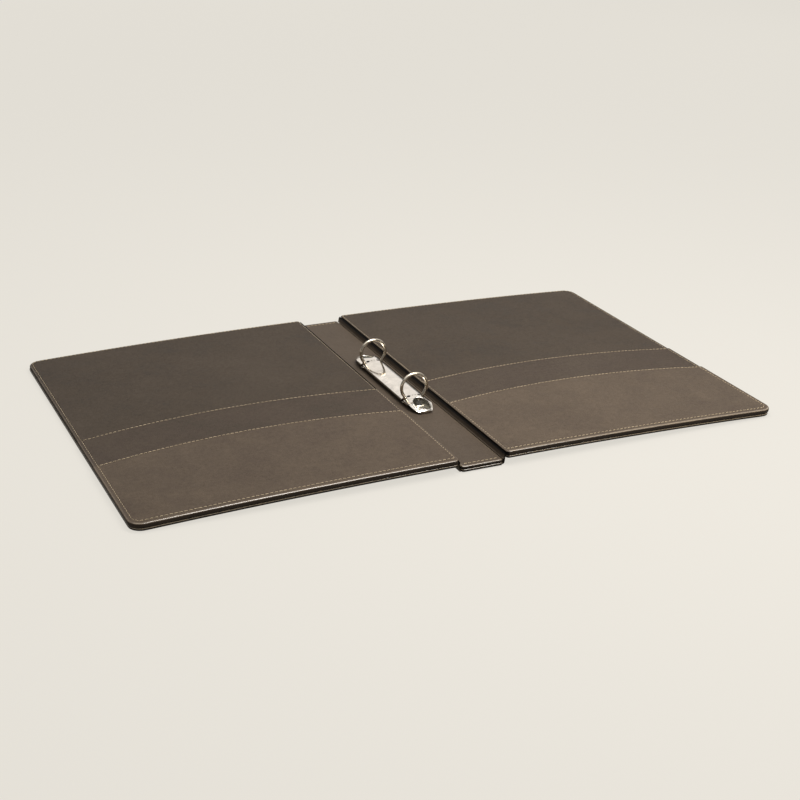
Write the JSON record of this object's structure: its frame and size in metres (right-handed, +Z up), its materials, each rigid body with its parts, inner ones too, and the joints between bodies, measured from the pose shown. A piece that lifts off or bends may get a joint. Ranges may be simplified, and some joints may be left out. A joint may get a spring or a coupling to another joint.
{
  "type": "ring binder",
  "caption": "Leather-covered A4 ring binder lying open flat, with hinged covers, curved-top inner pockets and a riveted pull-apart ring mechanism on the spine.",
  "frame": {"origin": "on the table plane under the middle of the spine, halfway along its length", "axes": "+X towards the right cover's outer edge, +Y along the spine away from the pockets, +Z up out of the open binder"},
  "size_m": [0.5322, 0.318, 0.0319],
  "materials": {
    "leather_outer": "satin",
    "leather_lining": "satin",
    "leather_pocket": "satin",
    "board": "matte",
    "nickel": "polished",
    "steel": "satin"
  },
  "bodies": {
    "spine": {"spine_outer_leather": "leather_outer", "spine_board": "board", "spine_inner_board": "board", "spine_lining": "leather_lining", "left_hinge_outer_leather": "leather_outer", "left_hinge_lining": "leather_lining", "right_hinge_outer_leather": "leather_outer", "right_hinge_lining": "leather_lining", "ring_housing": "nickel", "rivet_front": "nickel", "rivet_back": "nickel"},
    "left_cover": {"left_cover_outer_leather": "leather_outer", "left_cover_outer_board": "board", "left_cover_inner_board": "board", "left_cover_lining": "leather_lining", "left_tall_pocket": "leather_pocket", "left_short_pocket": "leather_pocket"},
    "right_cover": {"right_cover_outer_leather": "leather_outer", "right_cover_outer_board": "board", "right_cover_inner_board": "board", "right_cover_lining": "leather_lining", "right_tall_pocket": "leather_pocket", "right_short_pocket": "leather_pocket"},
    "left_ring_side": {"left_ring_leaf": "steel", "left_half_ring_front": "nickel", "left_half_ring_back": "nickel"},
    "right_ring_side": {"right_ring_leaf": "steel", "right_half_ring_front": "nickel", "right_half_ring_back": "nickel"}
  },
  "joints": [
    {"name": "left_cover_hinge", "type": "hinge", "parent": "spine", "child": "left_cover", "pos_m": [-0.0248, 0, 0.0063], "axis": [0, 1, 0], "range_deg": [0, 90], "deforming": ["left_hinge_outer_leather", "left_hinge_lining"]},
    {"name": "right_cover_hinge", "type": "hinge", "parent": "spine", "child": "right_cover", "pos_m": [0.0248, 0, 0.0063], "axis": [0, -1, 0], "range_deg": [0, 90], "deforming": ["right_hinge_outer_leather", "right_hinge_lining"]},
    {"name": "right_ring_open", "type": "hinge", "parent": "spine", "child": "right_ring_side", "pos_m": [0.0092, 0, 0.0083], "axis": [0, 1, 0], "range_deg": [0, 24]},
    {"name": "left_ring_open", "type": "hinge", "parent": "spine", "child": "left_ring_side", "pos_m": [-0.0092, 0, 0.0083], "axis": [0, -1, 0], "range_deg": [0, 24]}
  ],
  "couplings": [
    {"joint": "left_ring_open", "follows": "right_ring_open", "ratio": 1}
  ]
}
